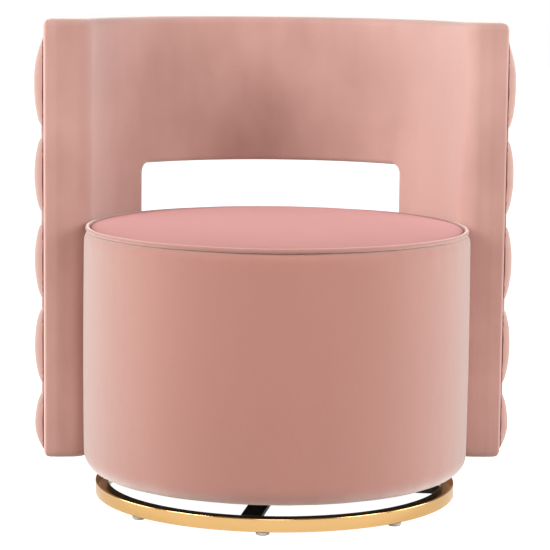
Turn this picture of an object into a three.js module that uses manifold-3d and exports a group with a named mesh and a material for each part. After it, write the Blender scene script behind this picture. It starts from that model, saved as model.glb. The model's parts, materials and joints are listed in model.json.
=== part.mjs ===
// Swivel barrel chair: a round upholstered drum seat inside a curved back-and-arm shell with an open
// window, turning on a ball-race swivel over a flat ring base with cross spokes.
//
// Millimetres, +Z up, the sitter faces -Y. Everything is drawn about the swivel axis, and the whole
// chair is then moved so that the origin lies on the floor, below the middle of the bounding box.
import * as THREE from 'three';
import { mergeVertices } from 'three/addons/utils/BufferGeometryUtils.js';
import Module from 'manifold-3d';

const wasm = await Module();
wasm.setup();

// ---- Driving dimensions ----
const OVERALL_HEIGHT = 724;
const GAP = 0.3; // clearance between pieces that touch
const SEGMENTS = 40; // facets around the swivel axis, shared by every nested layer
const RING_SEGMENTS = 56; // facets of the base ring
const SWIVEL_SEGMENTS = 24; // facets of the round pieces of the swivel
const FABRIC = 2; // cover thickness

const BASE_TURN = -11.2; // degrees that the base stands turned under the seat
const RING_OUTER = 275;
const RING_WIDTH = 19.5;
const RING_HEIGHT = 20;
const RING_EDGE = 1.5;
const GLIDE_RADIUS = 10;
const GLIDE_HEIGHT = 5;
const GLIDE_EDGE = 1.5;
const GLIDE_COUNT = 8;
const GLIDE_TURN = 4.7; // degrees from a spoke to the nearest glide
const SPOKE_WIDTH = 30;
const SPOKE_THICKNESS = 6;

const HUB_RADIUS = 85;
const HUB_THICKNESS = 4;
const RACE_PLATE = 2.5; // sheet thickness of the swivel's two plates
const RACE_RADIUS = 84;
const RACE_BORE = 35;
const BALL_PITCH = 60;
const BALL_RADIUS = 3;
const BALL_COUNT = 12;
const BALL_PLAY = 0.8; // how much deeper the grooves are than the balls
const RACE_RIB = 10; // half width of the ribs that hold the balls
const SPACER_RADIUS = 90;
const SWIVEL_BOLT_PITCH = 77;
const M6_BOLT = { shank: 3, head: 5.8, headHeight: 4 };
const M8_BOLT = { shank: 4, head: 7.5, headHeight: 5.3 };

const DRUM_RADIUS = 292.5;
const DRUM_BOTTOM = 44;
const DRUM_TOP = 408;
const DRUM_BEND = { across: 24.5, up: 28 }; // rounding of the bottom edge
const DRUM_SHOULDER = { across: 8, up: 16 }; // rounding of the top edge, under the welt
const DRUM_LIP = 258; // inner radius of the cover's turned-under hem
const PANEL_RADIUS = 268;
const PANEL_BOTTOM = 46;
const PANEL_THICKNESS = 15;
const WALL_OUTER = 276;
const WALL_THICKNESS = 5.7;
const DUST_CLOTH_THICKNESS = 0.7;
const POST_INNER = 235; // the drum posts' inner faces
const DECK_HEIGHT = 372; // top of the plywood ring that carries the springs
const DECK_THICKNESS = 18;
const DECK_BORE = 215;
const CROWN_RIM = 411;
const CROWN_HEIGHT = 19;
const CROWN_RADIUS = 283;
const WELT_RADIUS = 3.3;
const WELT_PITCH = 287.2;
const SPRING_WIRE = 2; // wire radius
const SPRING_SWING = 18; // how far the wire swings to each side
const SPRING_PITCH = 34; // length of one bend
const SPRING_HOLD = 18; // how far the springs reach onto the plywood ring
const SPRING_SPACING = 80;
const SPRING_COUNT = 4;

const SHELL_INNER = 293;
const SHELL_OUTER = 362;
const SHELL_BOTTOM = 44;
const ARM_FRONT = 55; // distance of the arms' front faces behind the swivel axis
const PAD_OUTER = 305; // outer radius of the inside padding
const RAIL_OUTER = 333;
const PANEL_INNER = 350; // where the outer padding ends and the tufted panel begins
const EDGE_PADDING = 12;
const INNER_BEND = 10; // rounding of the shell's edges along the top and bottom, inside
const OUTER_BEND = 8; // the same, outside
const ARM_NOSE = 30; // rounding of the arms' upright inner edges
const OUTER_NOSE = 3; // rounding of the arms' upright outer edges
const SEAM_MARGIN = { level: 12, front: 4 }; // how far the outer seam lies in from the shell's edges
const RAIL_HEIGHT = 20;
const POST_WIDTH = 40;

const WINDOW_HALF_WIDTH = 204; // at the inner face
const WINDOW_HEAD = 491;
const WINDOW_SILL = 372;
const WINDOW_CORNER = 15;

const TUFT_PERIOD = 132.5; // height between buttons in one column
const TUFT_TOP_ROW = 617.25;
const TUFT_COLUMNS = 13;
const TUFT_COLUMN_ANGLE = 11.75; // degrees
const TUFT_RISE = { top: 80, bottom: 42, front: 18 }; // width of the slopes along the seam
const TUFT_BASE = 7; // how far even the pleats stand out from the seam
const TUFT_HEIGHT = 10.5;
const BUTTON_DEPTH = 8;
const BUTTON_REACH = 22;

// ---- Materials ----
const material = (color, roughness, metalness) =>
  new THREE.MeshStandardMaterial({ color, roughness, metalness });
const VELVET = material(0xc98b7e, 0.85, 0);
const GOLD = material(0xe8b96a, 0.18, 1);
const BLACK_STEEL = material(0x1a1613, 0.5, 0.4);
const STEEL = material(0x9a9c9e, 0.35, 1);
const GREY_PLASTIC = material(0xb9b6ae, 0.6, 0);
const PLYWOOD = material(0xc79f6b, 0.75, 0);
const FOAM = material(0xe9e2c6, 0.95, 0);
const DUST_CLOTH = material(0x1d1c1c, 0.95, 0);

// ---- Geometry helpers ----
const radians = THREE.MathUtils.degToRad;
const polar = (radius, degrees, z) => [
  radius * Math.cos(radians(degrees)),
  radius * Math.sin(radians(degrees)),
  z,
];

// A closed geometry as a manifold solid with its faces pointing out.
function solid(geometry) {
  const bare = geometry.clone();
  bare.deleteAttribute('normal');
  bare.deleteAttribute('uv');
  const merged = mergeVertices(bare, 1e-4);
  const points = merged.attributes.position.array;
  const triangles = [];
  let volume = 0;
  const [a, b, c] = [new THREE.Vector3(), new THREE.Vector3(), new THREE.Vector3()];
  for (let i = 0; i < merged.index.count; i += 3) {
    const [p, q, r] = merged.index.array.slice(i, i + 3);
    if (p === q || q === r || r === p) continue;
    triangles.push(p, q, r);
    a.fromArray(points, 3 * p);
    b.fromArray(points, 3 * q);
    c.fromArray(points, 3 * r);
    volume += a.dot(b.cross(c));
  }
  if (volume < 0) triangles.reverse();
  return new wasm.Manifold(
    new wasm.Mesh({
      numProp: 3,
      vertProperties: new Float32Array(points),
      triVerts: new Uint32Array(triangles),
    }),
  );
}

function named(name, shape, look) {
  const { vertProperties, triVerts } = shape.getMesh();
  const geometry = new THREE.BufferGeometry();
  geometry.setAttribute('position', new THREE.BufferAttribute(new Float32Array(vertProperties), 3));
  geometry.setIndex(new THREE.BufferAttribute(new Uint32Array(triVerts), 1));
  geometry.computeVertexNormals();
  const mesh = new THREE.Mesh(geometry, look);
  mesh.name = name;
  return mesh;
}

// A profile of [radius, height] points turned about the swivel axis.
function turned(profile, segments = SEGMENTS) {
  const points = profile.map(([r, z]) => new THREE.Vector2(r, z));
  if (profile[0][0] > 0) points.push(points[0].clone());
  return solid(new THREE.LatheGeometry(points, segments).rotateX(Math.PI / 2));
}

const disc = (radius, bottom, top, segments) =>
  turned([[0, bottom], [radius, bottom], [radius, top], [0, top]], segments);

const ring = (inner, outer, bottom, top, segments) =>
  turned([[inner, bottom], [outer, bottom], [outer, top], [inner, top]], segments);

// Points of a quarter ellipse about [r, z], from one angle to the other in degrees.
function arc(r, z, across, up, from, to, steps) {
  return Array.from({ length: steps + 1 }, (_, i) => {
    const angle = radians(from + ((to - from) * i) / steps);
    return [r + across * Math.cos(angle), z + up * Math.sin(angle)];
  });
}

function block(low, high) {
  const size = high.map((value, i) => value - low[i]);
  const geometry = new THREE.BoxGeometry(...size);
  return solid(geometry.translate(...low.map((value, i) => value + size[i] / 2)));
}

// A rod between two points, with the given number of sides.
function rod(start, end, radius, sides = 8) {
  const [from, to] = [new THREE.Vector3(...start), new THREE.Vector3(...end)];
  const axis = to.clone().sub(from);
  const geometry = new THREE.CylinderGeometry(radius, radius, axis.length(), sides);
  const turn = new THREE.Quaternion().setFromUnitVectors(new THREE.Vector3(0, 1, 0), axis.normalize());
  geometry.applyQuaternion(turn);
  return solid(geometry.translate(...from.add(to).multiplyScalar(0.5).toArray()));
}

// A hexagon-headed bolt: its head lies behind the point where the shank starts.
function bolt(start, end, { shank, head, headHeight }) {
  const [from, to] = [new THREE.Vector3(...start), new THREE.Vector3(...end)];
  const back = from.clone().sub(to).setLength(headHeight).add(from);
  return rod(start, end, shank, 6).add(rod(back.toArray(), start, head, 6));
}

const holes = (axes, radius) =>
  axes.map(([start, end]) => rod(start, end, radius)).reduce((all, one) => all.add(one));

const FAR = 1000;
const behind = (y) => block([-FAR, y, -FAR], [FAR, FAR, FAR]);
const rightSide = block([0, -FAR, -FAR], [FAR, FAR, FAR]);
const leftSide = block([-FAR, -FAR, -FAR], [0, FAR, FAR]);

// A layer of the back shell: a ring about the swivel axis that is open to the front.
const shellLayer = (inner, outer, bottom, top, front) =>
  ring(inner, outer, bottom, top).intersect(behind(front));

// What rounding takes off the upright edge between a front face and a curved face of the back shell.
// The side is 1 for the outer face and -1 for the inner one.
function uprightCut(faceRadius, front, rounding, side) {
  const y = front + rounding;
  const x = Math.sqrt((faceRadius - side * rounding) ** 2 - y ** 2);
  const turn = Math.atan2(side * y, side * x);
  const beyond = 3 * rounding;
  const outline = new THREE.Shape();
  outline.absarc(x, y, rounding, -Math.PI / 2, turn, side < 0);
  outline.lineTo(x + beyond * Math.cos(turn), y + beyond * Math.sin(turn));
  outline.lineTo(x + beyond * Math.cos(turn), y + beyond * (Math.sin(turn) - 1));
  outline.lineTo(x, y - beyond);
  const geometry = new THREE.ExtrudeGeometry(outline, {
    depth: OVERALL_HEIGHT + 20,
    bevelEnabled: false,
    curveSegments: 4,
  });
  return solid(geometry.translate(0, 0, -10));
}

// The back shell's block with its edges rounded, drawn in by an inset from every side.
function shellBlock(inset) {
  const [inner, outer] = [SHELL_INNER + inset, SHELL_OUTER - GAP - inset];
  const [bottom, top] = [SHELL_BOTTOM + inset, OVERALL_HEIGHT - inset];
  const front = ARM_FRONT + inset;
  const [near, far] = [INNER_BEND - inset, OUTER_BEND - inset];
  const profile = [
    ...arc(inner + near, bottom + near, near, near, 180, 270, 2),
    ...arc(outer - far, bottom + far, far, far, 270, 360, 2),
    ...arc(outer - far, top - far, far, far, 0, 90, 2),
    ...arc(inner + near, top - near, near, near, 90, 180, 2),
  ];
  const nose = uprightCut(inner, front, ARM_NOSE - inset, -1);
  const corner = uprightCut(outer, front, OUTER_NOSE - inset, 1);
  return [nose, corner].reduce(
    (rounded, cut) => rounded.subtract(cut).subtract(cut.mirror([1, 0, 0])),
    turned(profile).intersect(behind(front)),
  );
}

// A rounded block whose side faces lie on planes through the swivel axis.
function wedge(halfWidth, bottom, top, corner) {
  const reach = Math.sqrt(SHELL_INNER ** 2 - WINDOW_HALF_WIDTH ** 2);
  const outline = new THREE.Shape();
  outline.moveTo(-halfWidth + corner, bottom);
  outline.lineTo(halfWidth - corner, bottom);
  outline.absarc(halfWidth - corner, bottom + corner, corner, -Math.PI / 2, 0);
  outline.absarc(halfWidth - corner, top - corner, corner, 0, Math.PI / 2);
  outline.absarc(-halfWidth + corner, top - corner, corner, Math.PI / 2, Math.PI);
  outline.absarc(-halfWidth + corner, bottom + corner, corner, Math.PI, 1.5 * Math.PI);
  const near = 100;
  const depth = 320;
  const geometry = new THREE.ExtrudeGeometry(outline, {
    depth,
    bevelEnabled: false,
    curveSegments: 4,
  });
  geometry.rotateX(Math.PI / 2).translate(0, near + depth, 0);
  const place = geometry.attributes.position;
  for (let i = 0; i < place.count; i++) place.setX(i, (place.getX(i) * place.getY(i)) / reach);
  return solid(geometry);
}

// The window, opened on every side by a margin for the layers that line it.
const windowCut = (margin) =>
  wedge(
    WINDOW_HALF_WIDTH + margin,
    WINDOW_SILL - margin,
    WINDOW_HEAD + margin,
    WINDOW_CORNER + margin,
  );

// ---- Levels that follow from the driving dimensions ----
const ringBottom = GLIDE_HEIGHT + GAP;
const ringTop = ringBottom + RING_HEIGHT;
const spokeBottom = 14;
const spokeTop = spokeBottom + SPOKE_THICKNESS;
const hubBottom = spokeTop + GAP;
const hubTop = hubBottom + HUB_THICKNESS;
const raceBottom = hubTop + GAP;
const ballLevel = raceBottom + RACE_PLATE + BALL_RADIUS - GAP;
const raceTop = 2 * ballLevel - raceBottom;
const panelTop = PANEL_BOTTOM + PANEL_THICKNESS;
const shoulderLevel = DRUM_TOP - DRUM_SHOULDER.up;
const springLevel = DECK_HEIGHT + GAP + SPRING_WIRE;
const foamBottom = springLevel + SPRING_WIRE + GAP;
const windowPostHalfWidth = WINDOW_HALF_WIDTH + FABRIC + EDGE_PADDING + POST_WIDTH / 2;
const windowPostAzimuth = THREE.MathUtils.radToDeg(
  Math.atan2(Math.sqrt(SHELL_INNER ** 2 - WINDOW_HALF_WIDTH ** 2), windowPostHalfWidth),
);

// ---- Base: ring, spokes, hub and glides ----
function makeBase() {
  const base = new THREE.Group();
  const low = ringBottom;
  const inner = RING_OUTER - RING_WIDTH;
  const e = RING_EDGE;
  const section = [
    [inner + e, low], [RING_OUTER - e, low], [RING_OUTER, low + e], [RING_OUTER, ringTop - e],
    [RING_OUTER - e, ringTop], [inner + e, ringTop], [inner, ringTop - e], [inner, low + e],
  ];
  base.add(named('base_ring', turned(section, RING_SEGMENTS), GOLD));

  const reach = inner * Math.cos(Math.PI / RING_SEGMENTS) - 1;
  const half = SPOKE_WIDTH / 2;
  const longSpoke = block([-half, -reach, spokeBottom], [half, reach, spokeTop]);
  const shortSpoke = block([half + GAP, -half, spokeBottom], [reach, half, spokeTop]);
  base.add(named('spoke_long', longSpoke, BLACK_STEEL));
  base.add(named('spoke_right', shortSpoke, BLACK_STEEL));
  base.add(named('spoke_left', shortSpoke.rotate([0, 0, 180]), BLACK_STEEL));

  const boltAxes = [45, 135, 225, 315].map((turn) => [
    polar(SWIVEL_BOLT_PITCH, turn, hubBottom - GAP),
    polar(SWIVEL_BOLT_PITCH, turn, raceBottom + RACE_PLATE + GAP),
  ]);
  const boltHoles = holes(boltAxes, M6_BOLT.shank + GAP);
  const hub = disc(HUB_RADIUS, hubBottom, hubTop, SWIVEL_SEGMENTS);
  base.add(named('hub_plate', hub.subtract(boltHoles), BLACK_STEEL));
  base.add(named('lower_race_plate', makeRace().subtract(boltHoles), STEEL));
  boltAxes.forEach(([start, end], i) => {
    base.add(named(`base_bolt_${i + 1}`, bolt(start, end, M6_BOLT), STEEL));
  });

  const glidePitch = RING_OUTER - RING_WIDTH / 2;
  const foot = GLIDE_RADIUS - GLIDE_EDGE;
  const glide = turned(
    [[0, 0], [foot, 0], [GLIDE_RADIUS, GLIDE_EDGE], [GLIDE_RADIUS, GLIDE_HEIGHT], [0, GLIDE_HEIGHT]],
    12,
  );
  for (let i = 0; i < GLIDE_COUNT; i++) {
    const place = polar(glidePitch, -90 + GLIDE_TURN + (i * 360) / GLIDE_COUNT, 0);
    base.add(named(`glide_${i + 1}`, glide.translate(place), GREY_PLASTIC));
  }
  base.rotation.z = radians(BASE_TURN);
  return base;
}

// The lower half of the ball race: a bored plate with a grooved rib under the balls.
function makeRace() {
  const plateTop = raceBottom + RACE_PLATE;
  const ribTop = ballLevel - 1;
  const groove = BALL_RADIUS + BALL_PLAY;
  const lip = THREE.MathUtils.radToDeg(Math.asin(1 / groove));
  const profile = [
    [RACE_BORE, raceBottom],
    [RACE_RADIUS, raceBottom],
    [RACE_RADIUS, plateTop],
    [BALL_PITCH + RACE_RIB, plateTop],
    [BALL_PITCH + RACE_RIB, ribTop],
    ...arc(BALL_PITCH, ballLevel, groove, groove, -lip, -180 + lip, 4),
    [BALL_PITCH - RACE_RIB, ribTop],
    [BALL_PITCH - RACE_RIB, plateTop],
    [RACE_BORE, plateTop],
  ];
  return turned(profile, SWIVEL_SEGMENTS);
}

// ---- Ball cage, which rolls between the two race plates ----
function makeCage() {
  const sheet = 0.3;
  const [inner, outer] = [BALL_PITCH - RACE_RIB, BALL_PITCH + RACE_RIB];
  let cage = ring(inner, outer, ballLevel - sheet, ballLevel + sheet, SWIVEL_SEGMENTS);
  for (let i = 0; i < BALL_COUNT; i++) {
    const ball = solid(new THREE.SphereGeometry(BALL_RADIUS, 6, 4).rotateX(Math.PI / 2));
    cage = cage.add(ball.translate(polar(BALL_PITCH, (i * 360) / BALL_COUNT, ballLevel)));
  }
  return named('ball_cage', cage, STEEL);
}

// ---- Seat drum ----
function makeDrum() {
  const drum = new THREE.Group();
  const swivelAxes = [45, 135, 225, 315].map((turn) => [
    polar(SWIVEL_BOLT_PITCH, turn, panelTop + GAP),
    polar(SWIVEL_BOLT_PITCH, turn, raceTop - RACE_PLATE + GAP),
  ]);
  const swivelHoles = holes(swivelAxes, M8_BOLT.shank + GAP);
  const upperRace = makeRace().mirror([0, 0, 1]).translate([0, 0, 2 * ballLevel]);
  drum.add(named('upper_race_plate', upperRace.subtract(swivelHoles), STEEL));
  const spacer = disc(SPACER_RADIUS, raceTop + GAP, PANEL_BOTTOM - GAP, SWIVEL_SEGMENTS);
  drum.add(named('swivel_spacer', spacer.subtract(swivelHoles), PLYWOOD));
  const panel = disc(PANEL_RADIUS, PANEL_BOTTOM, panelTop);
  drum.add(named('base_panel', panel.subtract(swivelHoles), PLYWOOD));
  swivelAxes.forEach(([start, end], i) => {
    drum.add(named(`swivel_bolt_${i + 1}`, bolt(start, end, M8_BOLT), STEEL));
  });
  const dustCover = ring(SPACER_RADIUS + 2, DRUM_LIP - 3, DRUM_BOTTOM, DRUM_BOTTOM + DUST_CLOTH_THICKNESS);
  drum.add(named('dust_cover', dustCover, DUST_CLOTH));

  const postBody = block(
    [POST_INNER, -POST_WIDTH / 2, panelTop + GAP],
    [PANEL_RADIUS - 1, POST_WIDTH / 2, DECK_HEIGHT - DECK_THICKNESS - GAP],
  );
  const posts = [windowPostAzimuth, 180 - windowPostAzimuth, 225, 315];
  posts.forEach((turn, i) => {
    const post = postBody.rotate([0, 0, turn]);
    drum.add(named(`drum_post_${i + 1}`, post.subtract(shellBoltHoles), PLYWOOD));
  });
  const wallInner = WALL_OUTER - WALL_THICKNESS;
  const deck = ring(DECK_BORE, wallInner - GAP, DECK_HEIGHT - DECK_THICKNESS, DECK_HEIGHT);
  drum.add(named('drum_top_ring', deck, PLYWOOD));
  const wall = ring(wallInner, WALL_OUTER, PANEL_BOTTOM + 10, DECK_HEIGHT);
  drum.add(named('drum_wall', wall.subtract(shellBoltHoles), PLYWOOD));
  const coverInner = DRUM_RADIUS - FABRIC;
  const padding = ring(WALL_OUTER + GAP, coverInner - GAP, DRUM_BOTTOM + DRUM_BEND.up + 1, shoulderLevel - 1);
  drum.add(named('drum_padding', padding.subtract(shellBoltHoles), FOAM));
  drum.add(named('drum_cover', makeDrumCover().subtract(shellBoltHoles), VELVET));

  for (let i = 0; i < SPRING_COUNT; i++) {
    const x = (i - (SPRING_COUNT - 1) / 2) * SPRING_SPACING;
    drum.add(named(`seat_spring_${i + 1}`, makeSpring(x), STEEL));
  }
  drum.add(...makeSeatTop());
  return drum;
}

// The drum's side cover, rounded at both ends and turned under at the bottom.
function makeDrumCover() {
  const under = DRUM_RADIUS - DRUM_BEND.across;
  const neck = DRUM_RADIUS - DRUM_SHOULDER.across;
  const lower = DRUM_BOTTOM + DRUM_BEND.up;
  const bend = (inset, from, to) =>
    arc(under, lower, DRUM_BEND.across - inset, DRUM_BEND.up - inset, from, to, 3);
  const shoulder = (inset, from, to) =>
    arc(neck, shoulderLevel, DRUM_SHOULDER.across - inset, DRUM_SHOULDER.up - inset, from, to, 2);
  return turned([
    [DRUM_LIP, DRUM_BOTTOM],
    ...bend(0, -90, 0),
    ...shoulder(0, 0, 80),
    ...shoulder(FABRIC, 80, 0),
    ...bend(FABRIC, 0, -90),
    [DRUM_LIP, DRUM_BOTTOM + FABRIC],
  ]);
}

// A sinuous spring: one wire that winds from side to side as it runs from front to back.
function makeSpring(x) {
  const reach = Math.sqrt((DECK_BORE + SPRING_HOLD) ** 2 - (Math.abs(x) + SPRING_SWING) ** 2);
  const bends = 2 * Math.round(reach / SPRING_PITCH);
  const points = Array.from({ length: 2 * bends + 1 }, (_, i) => {
    const side = [0, 1, 0, -1][i % 4];
    return new THREE.Vector3(x + SPRING_SWING * side, -reach + (reach * i) / bends, springLevel);
  });
  const path = new THREE.CatmullRomCurve3(points);
  const section = new THREE.Shape();
  section.absarc(0, 0, SPRING_WIRE, 0, 2 * Math.PI);
  return solid(
    new THREE.ExtrudeGeometry(section, { steps: 2 * bends, extrudePath: path, curveSegments: 3 }),
  );
}

// The seat's foam, its crowned cover and the welt around its rim.
function makeSeatTop() {
  const crown = (radius, level) => [
    radius,
    level + CROWN_HEIGHT * (1 - (radius / CROWN_RADIUS) ** 2) ** 0.8,
  ];
  const rim = CROWN_RADIUS;
  const stations = [rim, 0.97 * rim, 0.88 * rim, 0.7 * rim, 0.4 * rim, 0];
  const top = stations.map((radius) => crown(radius, CROWN_RIM + 1));
  const under = stations.map((radius) => crown(radius, CROWN_RIM + 1 - FABRIC)).reverse();
  const foamTop = stations.map((radius) => crown(radius, CROWN_RIM + 1 - FABRIC - GAP));
  const step = shoulderLevel - 1 + GAP;
  const foam = turned([[0, foamBottom], [WALL_OUTER, foamBottom], [WALL_OUTER, step], [rim, step], ...foamTop]);
  const cover = turned([...under, ...top]);
  const welt = turned(arc(WELT_PITCH, CROWN_RIM + 1, WELT_RADIUS, WELT_RADIUS, 0, 300, 5));
  return [
    named('seat_foam', foam, FOAM),
    named('seat_cover', cover, VELVET),
    named('seat_welt', welt, VELVET),
  ];
}

// ---- Bolts that hold the back shell to the drum's rear posts ----
const shellBoltAxes = [windowPostAzimuth, 180 - windowPostAzimuth].flatMap((turn) =>
  [130, 310].map((z) => [polar(234, turn, z), polar(325, turn, z)]),
);
const shellBoltHoles = holes(shellBoltAxes, M8_BOLT.shank + GAP);

// ---- Back shell ----
function makeShell() {
  const shell = new THREE.Group();
  const seam = {
    bottom: SHELL_BOTTOM + SEAM_MARGIN.level,
    top: OVERALL_HEIGHT - SEAM_MARGIN.level,
    front: ARM_FRONT + SEAM_MARGIN.front,
  };
  const withinSeam = shellLayer(PANEL_INNER, FAR, seam.bottom, seam.top, seam.front);

  const lining = windowCut(FABRIC);
  const hollow = shellBlock(FABRIC).add(withinSeam).subtract(lining);
  const cover = shellBlock(0).subtract(hollow).subtract(windowCut(0)).subtract(shellBoltHoles);
  shell.add(named('inner_cover', cover, VELVET));

  const stuffing = shellBlock(FABRIC + GAP).subtract(windowCut(FABRIC + GAP));
  const innerPadding = stuffing.intersect(disc(PAD_OUTER, 0, FAR)).subtract(shellBoltHoles);
  shell.add(named('inner_padding', innerPadding, FOAM));

  const frameInset = FABRIC + GAP + EDGE_PADDING;
  const frame = {
    bottom: SHELL_BOTTOM + frameInset,
    top: OVERALL_HEIGHT - frameInset,
    front: ARM_FRONT + frameInset,
  };
  const aroundFrame = [frame.bottom - GAP, frame.top + GAP, frame.front - GAP];
  const pocket = shellLayer(PAD_OUTER - 10, RAIL_OUTER + GAP, ...aroundFrame)
    .subtract(windowCut(FABRIC + EDGE_PADDING - GAP));
  const outerPadding = stuffing
    .subtract(disc(PAD_OUTER + GAP, 0, FAR))
    .subtract(pocket)
    .subtract(withinSeam);
  shell.add(named('outer_padding', outerPadding, FOAM));

  shell.add(...makeShellFrame(frame));
  const panel = makeTuftedPanel(seam.bottom + GAP, seam.top - GAP, seam.front + GAP);
  shell.add(named('tufted_panel', panel.subtract(windowCut(FABRIC + GAP)), VELVET));
  shellBoltAxes.forEach(([start, end], i) => {
    shell.add(named(`shell_bolt_${i + 1}`, bolt(start, end, M8_BOLT), STEEL));
  });
  return shell;
}

// Bent rails along the top and bottom, posts at the arms and the window, and the window's two rails.
function makeShellFrame({ bottom, top, front }) {
  const inner = PAD_OUTER + GAP;
  const layer = (low, high) => shellLayer(inner, RAIL_OUTER, low, high, front);
  const postBottom = bottom + RAIL_HEIGHT + GAP;
  const postTop = top - RAIL_HEIGHT - GAP;
  const uprights = layer(postBottom, postTop);
  const nearEdge = WINDOW_HALF_WIDTH + FABRIC + EDGE_PADDING;
  const besideWindow = wedge(nearEdge + POST_WIDTH, postBottom, postTop, 0.01)
    .subtract(wedge(nearEdge, 0, OVERALL_HEIGHT, 0.01));
  const windowPosts = uprights.intersect(besideWindow).subtract(shellBoltHoles);
  const armPosts = uprights.subtract(behind(front + POST_WIDTH));
  const betweenPosts = wedge(nearEdge - GAP, 0, OVERALL_HEIGHT, 0.01);
  const head = WINDOW_HEAD + FABRIC + EDGE_PADDING;
  const sill = WINDOW_SILL - FABRIC - EDGE_PADDING;
  const across = (low, high) => layer(low, high).intersect(betweenPosts);
  return [
    named('top_rail', layer(top - RAIL_HEIGHT, top), PLYWOOD),
    named('bottom_rail', layer(bottom, bottom + RAIL_HEIGHT), PLYWOOD),
    named('arm_post_right', armPosts.intersect(rightSide), PLYWOOD),
    named('arm_post_left', armPosts.intersect(leftSide), PLYWOOD),
    named('window_post_right', windowPosts.intersect(rightSide), PLYWOOD),
    named('window_post_left', windowPosts.intersect(leftSide), PLYWOOD),
    named('window_head_rail', across(head, head + RAIL_HEIGHT), PLYWOOD),
    named('window_sill_rail', across(sill - RAIL_HEIGHT, sill), PLYWOOD),
  ];
}

// How far the tufted panel stands out from the seam's radius. Buttons lie in columns, each column
// half a period above or below the next, and the pleats between them bound diamond pillows. Along the
// seam the pillows slope down to it.
function tuftHeight(degrees, z, bottom, top, front) {
  const middle = (TUFT_COLUMNS - 1) / 2;
  const place = (degrees - 90) / TUFT_COLUMN_ANGLE;
  const column = THREE.MathUtils.clamp(place, -middle, middle);
  const lastRow = TUFT_TOP_ROW - 4 * TUFT_PERIOD;
  const row = (THREE.MathUtils.clamp(z, lastRow, TUFT_TOP_ROW) - TUFT_TOP_ROW) / TUFT_PERIOD;
  const phase = column + middle + 1;
  const pleats = Math.sin(Math.PI * (phase / 2 + row)) * Math.sin(Math.PI * (phase / 2 - row));
  const arcStep = radians(TUFT_COLUMN_ANGLE) * SHELL_OUTER;
  const nearColumn = Math.round(phase);
  const rowOffset = (nearColumn % 2) / 2;
  const nearRow = Math.round(row - rowOffset) + rowOffset;
  const sideways = (place + middle + 1 - nearColumn) * arcStep;
  const button = Math.hypot(sideways, (row - nearRow) * TUFT_PERIOD);
  const dimple = BUTTON_DEPTH * Math.exp(-((button / BUTTON_REACH) ** 2));
  const share = (distance, width) => THREE.MathUtils.clamp(distance / width, 0, 1);
  const slope = (part) => Math.sqrt(1 - (1 - part) ** 2);
  const fromFront = SHELL_OUTER * Math.sin(radians(degrees)) - front;
  const rise =
    Math.sin((Math.PI / 2) * share(top - z, TUFT_RISE.top)) *
    slope(share(z - bottom, TUFT_RISE.bottom)) *
    slope(share(fromFront, TUFT_RISE.front));
  return rise * (TUFT_BASE + TUFT_HEIGHT * Math.sqrt(Math.abs(pleats)) - dimple);
}

function makeTuftedPanel(bottom, top, front) {
  const levels = [bottom, bottom + TUFT_RISE.bottom / 3];
  const lowest = TUFT_TOP_ROW - 4 * TUFT_PERIOD;
  for (let z = lowest; z < top - TUFT_RISE.top / 4; z += TUFT_PERIOD / 4) levels.push(z);
  levels.push(top);
  const edge = THREE.MathUtils.radToDeg(Math.asin(front / SHELL_OUTER));
  const columns = [edge - 1, edge + 0.4, edge + 1.5, edge + 4];
  const lastColumn = 90 - ((TUFT_COLUMNS - 1) / 2) * TUFT_COLUMN_ANGLE;
  for (let turn = lastColumn; turn < 89; turn += TUFT_COLUMN_ANGLE / 2) columns.push(turn);
  columns.push(90, ...columns.map((turn) => 180 - turn).reverse());

  const positions = [];
  const heights = [];
  for (const z of levels) {
    for (const turn of columns) {
      const height = tuftHeight(turn, z, bottom, top, front);
      heights.push(height);
      positions.push(...polar(SHELL_OUTER + height, turn, z));
    }
  }
  for (const z of levels) {
    for (const turn of columns) positions.push(...polar(PANEL_INNER - 20, turn, z));
  }

  const index = [];
  const width = columns.length;
  const layer = levels.length * width;
  const quad = (a, b, c, d) => index.push(a, b, c, a, c, d);
  // The pillows' quads are split along the lower diagonal, so that the pleats come out straight.
  const pillowQuad = (a, b, c, d) =>
    heights[a] + heights[c] > heights[b] + heights[d] ? quad(b, c, d, a) : quad(a, b, c, d);
  for (let j = 0; j < levels.length - 1; j++) {
    for (let i = 0; i < width - 1; i++) {
      const k = j * width + i;
      pillowQuad(k, k + 1, k + width + 1, k + width);
      quad(layer + k, layer + k + width, layer + k + width + 1, layer + k + 1);
    }
    const first = j * width;
    const last = first + width - 1;
    quad(first, first + width, layer + first + width, layer + first);
    quad(last, layer + last, layer + last + width, last + width);
  }
  const head = (levels.length - 1) * width;
  for (let i = 0; i < width - 1; i++) {
    quad(i, layer + i, layer + i + 1, i + 1);
    quad(head + i, head + i + 1, layer + head + i + 1, layer + head + i);
  }
  const geometry = new THREE.BufferGeometry();
  geometry.setAttribute('position', new THREE.Float32BufferAttribute(positions, 3));
  geometry.setIndex(index);
  return solid(geometry)
    .subtract(disc(PANEL_INNER + GAP, -FAR, FAR))
    .intersect(behind(front));
}

// ---- The whole chair ----
const chair = new THREE.Group();
chair.add(makeBase(), makeCage(), makeDrum(), makeShell());
const extent = new THREE.Box3().setFromObject(chair, true);
const middle = extent.getCenter(new THREE.Vector3());
chair.position.set(-middle.x, -middle.y, -extent.min.z);

export default chair;
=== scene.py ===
"""A velvet swivel barrel chair in a plain white studio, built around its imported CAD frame.

Lengths are metres. Everything round is drawn about the swivel axis, whose place the frame gives.
"""
import json
import math

import bmesh
import bpy
import numpy as np
from mathutils import Matrix, Vector, noise


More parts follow.
